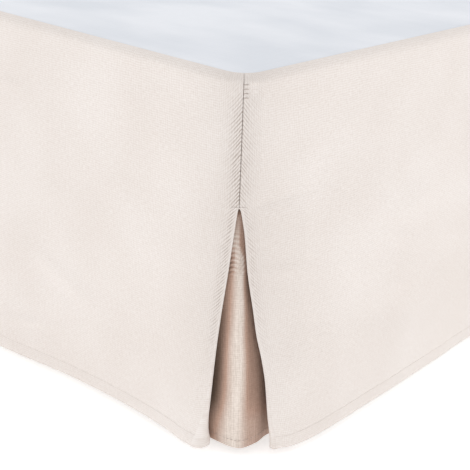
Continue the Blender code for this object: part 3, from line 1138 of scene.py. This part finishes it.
@dataclass
class Skirt:
    """The skirt's three panels, its two pleat inserts and its sewing."""

    cloth: Material
    # The cloth's darker copy with painted shade, for the pleat inserts
    painted_shade_cloth: Material
    thread: Material
    # Thread darkened with painted shade, for the pleat's seam and the insert's hem
    painted_shade_thread: Material
    near_step: float = 0.0015
    near_reach: float = 0.018
    middle_step: float = 0.004
    middle_reach: float = 0.400
    far_step: float = 0.009
    fold_steps: int = 12
    return_step: float = 0.005
    chevron_slope: float = 1.35
    chevron_reach: float = 0.022
    chevron_power: float = 1.5
    pull_height: float = 0.180
    # Reach of the puckers' painted shade and of the painted shade beside the seam
    pucker_shade_reach: float = 0.0085
    pucker_shade_start: float = 0.040
    side_pucker_shade: float = 0.65
    pressed_edge: float = 0.004
    shaded_reach: float = 0.050
    near_shade: float = 0.08
    hem_pitch: float = 0.0036
    thread_proud: float = 0.0001
    insert_spacing: float = 0.0014
    insert_sewn: tuple[float, float] = (0.22, 0.80)
    ladder_stitches: int = 4
    ladder_length: float = 0.0060
    ladder_right: float = 0.0020
    seam_length: float = 0.0012
    seam_width: float = 0.0006
    bartack_stitches: int = 5
    bartack_size: tuple[float, float] = (0.0030, 0.0010)
    bartack_width: float = 0.010
    bartack_up: float = 0.001

    def columns(self, last_run: float) -> Columns:
        """Lists a panel's columns from its return's hidden edge to the front's last run.

        Args:
            last_run: Where the front ends, in metres from the fold.

        Returns:
            The columns in order.
        """
        near = np.arange(0.0, self.near_reach, self.near_step)
        middle = np.arange(self.near_reach, self.middle_reach, self.middle_step)
        far_steps = round((last_run - self.middle_reach) / self.far_step)
        far = np.linspace(self.middle_reach, last_run, far_steps + 1)
        front = np.concatenate([near, middle, far])
        hidden = np.arange(RETURN_DEPTH, self.return_step / 2, -self.return_step)
        turns = math.pi * (1 - np.arange(self.fold_steps) / self.fold_steps)
        return Columns(
            run=np.concatenate([hidden, np.zeros(self.fold_steps), front]),
            turn=np.concatenate([np.full(len(hidden), math.pi), turns, np.zeros(len(front))]),
            across=np.concatenate([-math.pi * FOLD_RADIUS - hidden, -FOLD_RADIUS * turns, front]),
        )

    def weave(self, columns: Columns, rows: Rows) -> np.ndarray:
        """Where points are in the weave, whose level threads are drawn up towards the seam."""
        beside = np.maximum(columns.across, 0.0)[:, None]
        near = np.maximum(1 - beside / self.chevron_reach, 0.0)
        rise = self.chevron_slope * self.chevron_reach / self.chevron_power * near ** self.chevron_power
        down = rows.down + rise * self.above_the_hem(rows)
        return np.stack([np.broadcast_to(columns.across[:, None], down.shape), down], -1)

    def above_the_hem(self, rows: Rows) -> np.ndarray:
        """How much of the seam's pull is left at each row: none at the hem."""
        return smooth_step((rows.height - HEM_LEVEL) / self.pull_height)

    def marks(self, columns: Columns, rows: Rows, strength: float = 1.0) -> dict[str, np.ndarray]:
        """How strong the painted shade of the puckers is where the seam draws up the threads beside it, and
        how much painted shade dims the cloth there.

        Args:
            columns: The columns of points.
            rows: The rows of points.
            strength: How hard the threads are drawn up, which sets how strong their painted shade is.

        Returns:
            The strength of the puckers' painted shade and of the painted shade beside the seam, from 0 to
            1, by column and row.
        """
        beside = np.abs(columns.across)[:, None]
        pull = self.above_the_hem(rows)
        pressed = (1 - sewn_shut(rows.height)) * (1 - smooth_step(beside / self.pressed_edge))
        sewn_in = smooth_step((TOP - rows.height) / self.pucker_shade_start) * pull ** 3
        # Painted shade of the puckers where the seam draws the threads up
        drawn = strength * np.exp(-((beside / self.pucker_shade_reach) ** 2)) * sewn_in * (1 - pressed)
        # Painted shade beside the seam, fading away from it and down to the hem
        dim = self.near_shade * np.exp(-((beside / self.shaded_reach) ** 2)) * pull
        return {"drawn": drawn, "painted_shade": dim}

    def half_foot(self, corner: Corner) -> tuple[Flap, float]:
        """The foot panel's flap at one corner, and the run from there to the panel's middle."""
        flap = FOOT_FLAP
        if corner is Corner.LEFT:
            mirrored = tuple((FOOT_LENGTH - along, out) for along, out in reversed(FOOT_HEM))
            flap = replace(FOOT_FLAP, hem_rows=mirrored)
        known = flap.front_place(np.array(self.middle_reach), np.array(TOP))[0]
        return flap, self.middle_reach + FACE_X - known

    def foot_places(self, corner: Corner, points: np.ndarray) -> np.ndarray:
        """Turns places along, out and up from one corner of the foot panel into the bed's frame."""
        along, out, up = np.moveaxis(points, -1, 0)
        return np.stack([corner.value * (FACE_X - along), FACE_Y - out, up], -1)

    def side_places(self, corner: Corner, points: np.ndarray) -> np.ndarray:
        """Turns places along, out and up on a side panel into the bed's frame."""
        along, out, up = np.moveaxis(points, -1, 0)
        return np.stack([corner.value * (FACE_X + out), FACE_Y + along, up], -1)

    def side_run(self) -> float:
        """The run of a side panel's front, from its fold to the head."""
        known = SIDE_FLAP.front_place(np.array(self.middle_reach), np.array(TOP))[0]
        return self.middle_reach + HEAD_Y - FACE_Y - known

    def side_panel(self, corner: Corner) -> Object:
        """Builds a side panel, from its pleat to its plain edge at the head, with its stitches.

        Args:
            corner: The foot corner that it starts from.

        Returns:
            The finished piece.
        """
        columns, rows = self.columns(self.side_run()), RowSpacing().build()
        relief = Relief(SIDE_CREASES, seed=SIDE_SEEDS[corner])
        points = self.side_places(corner, SIDE_FLAP.points(columns, rows, relief))
        sheet = Sheet(
            f"{corner.label}_panel_cloth",
            points,
            self.weave(columns, rows),
            facing_out=corner is Corner.RIGHT,
            marks=self.marks(columns, rows, self.side_pucker_shade),
        )
        return sheet.build(self.cloth, "skirt_cloth")

    def foot_panel(self) -> Object:
        """Builds the foot panel, with a pleat at both ends.

        Returns:
            The finished piece.
        """
        rows = RowSpacing().build()
        points, weave, marks = [], [], []
        for corner in (Corner.LEFT, Corner.RIGHT):
            flap, last_run = self.half_foot(corner)
            columns = self.columns(last_run)
            relief = Relief(FOOT_CREASES, seed=FOOT_SEEDS[corner])
            threads = self.weave(columns, rows)
            threads[..., 0] = corner.value * (last_run - threads[..., 0])
            points.append(self.foot_places(corner, flap.points(columns, rows, relief)))
            weave.append(threads)
            marks.append(self.marks(columns, rows))
        places, threads = (self.joined(pair) for pair in (points, weave))
        both = {name: self.joined([half[name] for half in marks]) for name in marks[0]}
        sheet = Sheet("foot_panel_cloth", places, threads, marks=both)
        return sheet.build(self.cloth, "skirt_cloth")

    @staticmethod
    def joined(halves: list[np.ndarray]) -> np.ndarray:
        """Joins the foot panel's left half to its right half, which starts from its own corner."""
        return np.concatenate([halves[0], halves[1][-2::-1]])

    def insert(self, corner: Corner) -> Object:
        """Builds the underlay of one pleat.

        Args:
            corner: The corner that it is in.

        Returns:
            The finished piece.
        """
        underlay = Underlay()
        rows = RowSpacing(spacing=self.insert_spacing, stitch_up=UNDERLAY_STITCH_UP).build()
        inside, painted_shade = underlay.points(rows)
        from_side, from_foot, up = np.moveaxis(inside, -1, 0)
        points = np.stack([corner.value * (FACE_X - from_side), FACE_Y + from_foot, up], -1)
        across = np.linspace(0.0, underlay.width, len(points))[:, None]
        weave = np.stack(np.broadcast_arrays(across, rows.down[None, :]), -1)
        sheet = Sheet(
            f"{corner.label}_pleat_cloth",
            points,
            weave,
            facing_out=corner is Corner.RIGHT,
            marks={"painted_shade": painted_shade},
        )
        return sheet.build(self.painted_shade_cloth, "skirt_cloth")

    def hem_stitches(
        self,
        name: str,
        flap: Flap,
        relief: Relief,
        last_run: float,
        to_frame: Callable[[np.ndarray], np.ndarray],
    ) -> Object:
        """Sews one hem from a pleat's fold along the front.

        Args:
            name: The piece's name.
            flap: The panel's shape.
            relief: Its creases.
            last_run: Where the stitches end.
            to_frame: Turns places along, out and up into the bed's frame.

        Returns:
            The finished piece.
        """
        run = np.arange(self.hem_pitch / 2, last_run, self.hem_pitch)
        heights = HEM_LEVEL + HEM_STITCH_UP + np.array([0.0, flap.run_step])
        level = np.zeros(2)
        rows = Rows(heights, TOP - heights, level > 0, level, level)
        here, ahead = (
            to_frame(flap.points(Columns(place, 0 * place, place), rows, relief))
            for place in (run, run + flap.run_step)
        )
        ways = ahead[:, 0] - here[:, 0]
        ways /= np.linalg.norm(ways, axis=1, keepdims=True)
        outwards = np.cross(ways, here[:, 1] - here[:, 0])
        outwards /= np.linalg.norm(outwards, axis=1, keepdims=True)
        away = here[:, 0] - np.array([0.0, (FACE_Y + HEAD_Y) / 2, 0.0])
        outwards *= np.sign((outwards * away).sum(1, keepdims=True))
        middles = here[:, 0] + outwards * self.thread_proud
        return StitchLine(name).build(middles, ways, outwards, self.thread)

    def seam_stitches(self, corner: Corner) -> list[Object]:
        """Sews one pleat's seam: long bars at its top, short ones below, and a bartack at its end.

        Args:
            corner: The corner that it is at.

        Returns:
            The finished pieces.
        """
        inset = CORNER_RADIUS * (1 - math.sin(math.pi / 4)) - self.thread_proud
        level = Vector((corner.value, 1.0, 0.0)).normalized()
        outward = Vector((corner.value, -1.0, 0.0)).normalized()
        foot = Vector((corner.value * (FACE_X - inset), FACE_Y + inset, 0.0))
        heights = np.arange(TOP - ROLL_RADIUS, SEAM_END + STITCH, -STITCH)
        made = []
        for name, some, length, right in (
            ("ladder", heights[:self.ladder_stitches], self.ladder_length, self.ladder_right),
            ("seam", heights[self.ladder_stitches:], self.seam_length, 0.0),
        ):
            middles = [foot + level * right + Vector((0.0, 0.0, height)) for height in some]
            line = StitchLine(f"{name}_stitches_{corner.label}", length, self.seam_width)
            count = len(middles)
            made.append(line.build(middles, [level] * count, [outward] * count, self.painted_shade_thread))
        turns = np.linspace(-1, 1, self.bartack_stitches) * self.bartack_width / 2 / CORNER_RADIUS
        inset, height = CORNER_RADIUS, SEAM_END + self.bartack_up
        middle = Vector((corner.value * (FACE_X - inset), FACE_Y + inset, height))
        outwards = [Matrix.Rotation(turn, 3, "Z") @ outward for turn in turns]
        ways = [Matrix.Rotation(turn, 3, "Z") @ level for turn in turns]
        middles = [middle + way * (CORNER_RADIUS + self.thread_proud) for way in outwards]
        bar = StitchLine(f"bartack_{corner.label}", *self.bartack_size)
        made.append(bar.build(middles, ways, outwards, self.thread))
        return made

    def insert_stitches(self, corner: Corner) -> Object:
        """Sews the hem of one pleat's insert, across the part that hangs free.

        Args:
            corner: The corner that it is in.

        Returns:
            The finished piece.
        """
        underlay = Underlay()
        low, high = self.insert_sewn
        shares = np.arange(low, high, self.hem_pitch / underlay.width)
        height = HEM_LEVEL + UNDERLAY_STITCH_UP
        place, inward = (found[:, 0] for found in underlay.across(shares, np.array([height])))
        to_frame = np.array((-corner.value, 1.0))
        level = np.zeros(len(shares))
        outwards = np.column_stack([-inward * to_frame, level])
        ways = np.column_stack([outwards[:, 1], -outwards[:, 0], level])
        places = place * to_frame + (corner.value * FACE_X, FACE_Y)
        middles = np.column_stack([places, level + height]) + outwards * self.thread_proud
        line = StitchLine(f"pleat_hem_{corner.label}")
        return line.build(middles, ways, outwards, self.painted_shade_thread)

    def sewing(self) -> list[Object]:
        """Sews every hem and seam.

        Returns:
            The stitches' pieces.
        """
        made = []
        for corner in Corner:
            foot_relief = Relief(FOOT_CREASES, seed=FOOT_SEEDS[corner])
            side_relief = Relief(SIDE_CREASES, seed=SIDE_SEEDS[corner])
            for side, flap, last_run, relief, places in (
                ("foot", *self.half_foot(corner), foot_relief, self.foot_places),
                ("side", SIDE_FLAP, self.side_run(), side_relief, self.side_places),
            ):
                name, to_frame = f"{side}_hem_{corner.label}", partial(places, corner)
                made.append(self.hem_stitches(name, flap, relief, last_run, to_frame))
            made += [*self.seam_stitches(corner), self.insert_stitches(corner)]
        return made

    def build(self) -> list[Object]:
        """Builds every piece of the skirt and hides the solids that they stand in for.

        Returns:
            The pieces.
        """
        foot = self.foot_panel()
        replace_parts(foot, "skirt_foot")
        pieces = [foot]
        for corner in Corner:
            panel = self.side_panel(corner)
            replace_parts(panel, f"skirt_{corner.label}")
            insert = self.insert(corner)
            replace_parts(insert, f"pleat_insert_{corner.label}")
            pieces += [panel, insert]
        return pieces + self.sewing()


@dataclass
class Platform:
    """The thin platform cloth that lies over the box spring inside the skirt's rolled edge."""

    cloth: Material
    below_top: float = 0.0011
    edge_inset: float = 0.006
    spacing: float = 0.010
    flat_edge: float = 0.05
    swell: float = 0.0010
    swell_size: float = 0.120
    sunk: float = 0.2
    seed: float = 3.0

    def build(self) -> Object:
        """Builds the platform cloth.

        Returns:
            The finished piece.
        """
        half = FACE_X - self.edge_inset
        foot_y = FACE_Y + self.edge_inset
        length = HEAD_Y - foot_y
        radius = CORNER_RADIUS - self.edge_inset
        x = np.linspace(-half, half, round(2 * half / self.spacing))[:, None]
        y = np.linspace(HEAD_Y, foot_y, round(length / self.spacing))[None, :]
        x, y = (values.copy() for values in np.broadcast_arrays(x, y))
        weave = np.stack([x, y], -1)
        off_x, off_y = np.abs(x) - half + radius, foot_y + radius - y
        off = np.hypot(off_x, off_y)
        cut = (off_x > 0) & (off_y > 0) & (off > radius)
        x[cut] = np.sign(x[cut]) * (half - radius + off_x[cut] * radius / off[cut])
        y[cut] = foot_y + radius - off_y[cut] * radius / off[cut]
        inside = smooth_step(np.minimum(half - np.abs(x), y - foot_y) / self.flat_edge)
        swell = soft_noise(x, y, self.swell_size, self.seed) - self.sunk
        points = np.stack([x, y, TOP - self.below_top + self.swell * inside * swell], -1)
        sheet = Sheet("platform_cloth", points, weave, hemmed=False)
        piece = sheet.build(self.cloth, "platform_cloth")
        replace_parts(piece, "deck")
        return piece


@dataclass
class BoxSpring:
    """The plain covered box spring and its six turned legs."""

    ticking: Material
    wood: Material
    corner_radius: float = 0.050
    corner_steps: int = 12
    edge_radius: float = 0.012
    edge_steps: int = 5
    sharp_angle: float = 1.2
    pressed: float = 0.002
    leg_sides: int = 48
    leg_taper: float = 0.010
    leg_edge: float = 0.003
    leg_edge_bend: float = 0.3
    weld: float = 1e-6
    level_normal: float = 0.99

    def box(self) -> Object:
        """Builds the box with rounded corners and edges.

        Returns:
            The finished piece.
        """
        shape = bmesh.new()
        bmesh.ops.create_cube(shape, size=1.0)
        high = BED_HIGH - Vector((0.0, 0.0, self.pressed))
        bmesh.ops.scale(shape, vec=high - BED_LOW, verts=shape.verts)
        bmesh.ops.translate(shape, vec=(high + BED_LOW) / 2, verts=shape.verts)
        upright = [edge for edge in shape.edges if edge.verts[0].co.xy == edge.verts[1].co.xy]
        self.bevel(shape, upright, self.corner_radius, self.corner_steps)
        level = [edge for edge in shape.edges if edge.calc_face_angle() > self.sharp_angle]
        self.bevel(shape, level, self.edge_radius, self.edge_steps)
        lay_weave(shape, self.wrapped)
        piece = add_piece("covered_box", shape, self.ticking)
        even = piece.modifiers.new("Even shading", "WEIGHTED_NORMAL")
        even.keep_sharp = True
        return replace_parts(piece, "box_spring")

    @staticmethod
    def wrapped(loop: BMLoop) -> tuple[float, float]:
        """Where the ticking wraps round the box: upright on its sides, level on its top."""
        place = loop.vert.co
        level = abs(loop.face.normal.z) > 0.5
        return place.x + place.y, place.z + (place.y if level else 0)

    @staticmethod
    def bevel(shape: BMesh, edges: list[BMEdge], radius: float, steps: int) -> None:
        """Rounds some edges of a shape."""
        rounded = {"offset": radius, "segments": steps, "profile": 0.5}
        bmesh.ops.bevel(shape, geom=edges, affect="EDGES", material=-1, **rounded)

    def leg(self, node: str) -> Object:
        """Turns one leg in place of its solid.

        Args:
            node: The solid's name.

        Returns:
            The finished piece.
        """
        low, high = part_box(node)
        middle = (low + high) / 2
        top_radius = (high.x - low.x) / 2
        foot_radius = top_radius - self.leg_taper
        edge = self.leg_edge
        bend = edge * self.leg_edge_bend
        outline = (
            # radius, height
            (0.0, low.z),
            (foot_radius - edge, low.z),
            (foot_radius - bend, low.z + bend),
            (foot_radius, low.z + edge),
            (top_radius, high.z - edge),
            (top_radius - bend, high.z - bend),
            (top_radius - edge, high.z),
            (0.0, high.z),
        )
        turned = bmesh.new()
        verts = [turned.verts.new((middle.x + radius, middle.y, height)) for radius, height in outline]
        edges = [turned.edges.new(pair) for pair in zip(verts[:-1], verts[1:])]
        bmesh.ops.spin(
            turned,
            geom=verts + edges,
            cent=(middle.x, middle.y, 0.0),
            axis=(0.0, 0.0, 1.0),
            angle=2 * math.pi,
            steps=self.leg_sides,
            use_merge=True,
        )
        bmesh.ops.remove_doubles(turned, verts=turned.verts, dist=self.weld)
        bmesh.ops.recalc_face_normals(turned, faces=turned.faces)
        for face in turned.faces:
            face.smooth = abs(face.normal.z) < self.level_normal
        piece = add_piece(f"turned_{node}", turned, self.wood)
        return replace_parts(piece, node)

    def build(self) -> list[Object]:
        """Builds the box and its legs.

        Returns:
            The pieces.
        """
        legs = sorted(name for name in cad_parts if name.startswith("leg_"))
        return [self.box(), *(self.leg(name) for name in legs)]


@dataclass
class Studio:
    """The camera at the photograph's place, the soft lights and the pale floor."""

    place: tuple[float, float, float] = (1.3235, -1.6128, 0.5969)
    azimuth: float = 42.54
    pitch: float = 22.88
    roll: float = 2.19
    lens: float = 77.76
    image_pixels: int = 470
    shift_pixels: float = -1.0
    softbox_turn: float = 52.0
    softbox_away: float = 3.0
    softbox_height: float = 1.2
    softbox_size: float = 1.6
    softbox_power: float = 6.2
    overhead_height: float = 2.9
    overhead_size: float = 3.0
    overhead_power: float = 20.0
    surroundings: float = 0.80
    floor_glow: float = 0.56
    floor_half: float = 20.0
    floor_roughness: float = 0.9
    nearest: float = 0.01
    farthest: float = 100.0

    def camera(self) -> Object:
        """Places the camera.

        Returns:
            The camera.
        """
        azimuth, pitch, roll = (math.radians(angle) for angle in (self.azimuth, self.pitch, self.roll))
        forward = Vector(
            (-math.sin(azimuth) * math.cos(pitch), math.cos(azimuth) * math.cos(pitch), -math.sin(pitch))
        )
        level = Vector((math.cos(azimuth), math.sin(azimuth), 0.0))
        upright = level.cross(forward)
        right = level * math.cos(roll) + upright * math.sin(roll)
        up = upright * math.cos(roll) - level * math.sin(roll)
        data = bpy.data.cameras.new("camera")
        data.lens = self.lens
        data.shift_x = self.shift_pixels / self.image_pixels
        data.clip_start, data.clip_end = self.nearest, self.farthest
        camera = add_object("camera", data)
        turn = Matrix((right, up, -forward)).transposed().to_4x4()
        camera.matrix_world = Matrix.Translation(self.place) @ turn
        bpy.context.scene.camera = camera
        return camera

    @staticmethod
    def lamp(name: str, place: Vector, target: Vector, size: float, power: float) -> None:
        """Adds one square soft light that faces its target."""
        data = bpy.data.lights.new(name, "AREA")
        data.size = size
        data.energy = power
        lamp = add_object(name, data)
        lamp.location = place
        lamp.rotation_euler = (target - place).to_track_quat("-Z", "Y").to_euler()

    def floor(self) -> Object:
        """Lays the plain pale floor.

        Returns:
            The floor.
        """
        shape = bmesh.new()
        bmesh.ops.create_grid(shape, x_segments=1, y_segments=1, size=self.floor_half)
        floor = add_object("floor", to_mesh("floor", shape))
        material, tree, shader = new_material("matt_white_floor")
        # Matt white paper, lit a little from below so that it stays plain white in the shade
        finish = {
            "Base Color": linear("#F4F4F4"),
            "Roughness": self.floor_roughness,
            "Emission Color": linear("#FFFFFF"),
            "Emission Strength": self.floor_glow,
        }
        feed(tree, shader, finish)
        floor.data.materials.append(material)
        return floor

    def build(self) -> None:
        """Sets up the camera, lights, floor and surroundings."""
        self.camera()
        corner = Vector((FACE_X, FACE_Y, TOP / 2))
        turn = math.radians(self.softbox_turn)
        for name, way in {
            "foot_softbox": Vector((-math.sin(turn), -math.cos(turn), 0.0)),
            "side_softbox": Vector((math.cos(turn), math.sin(turn), 0.0)),
        }.items():
            place = corner + way * self.softbox_away + Vector((0.0, 0.0, self.softbox_height))
            self.lamp(name, place, corner, self.softbox_size, self.softbox_power)
        above, below = Vector((0.0, 0.0, self.overhead_height)), Vector((0.0, 0.0, TOP))
        self.lamp("overhead_softbox", above, below, self.overhead_size, self.overhead_power)
        self.floor()
        world = bpy.data.worlds.new("studio")
        world.use_nodes = True
        tree = world.node_tree
        feed(tree, tree.nodes["Background"], {"Color": linear("#FFFFFF"), "Strength": self.surroundings})
        bpy.context.scene.world = world
        bpy.context.scene.view_settings.view_transform = "Standard"


def main() -> None:
    """Builds the bed skirt and its bed."""
    logging.basicConfig(level=logging.INFO, format="%(message)s")
    Studio().build()
    finishes = (LINEN_LOOK, LINEN_LOOK_PAINTED_SHADE, THREAD, SEAM_THREAD_PAINTED_SHADE)
    skirt = Skirt(*(finish.build() for finish in finishes))
    pieces = skirt.build()
    pieces.append(Platform(PERCALE.build()).build())
    pieces += BoxSpring(TICKING.build(), BEECH.build()).build()
    for piece in pieces:
        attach(piece, BODY)
        LOG.info("%s: %d faces", piece.name, len(piece.data.polygons))


if __name__ == "__main__":
    main()
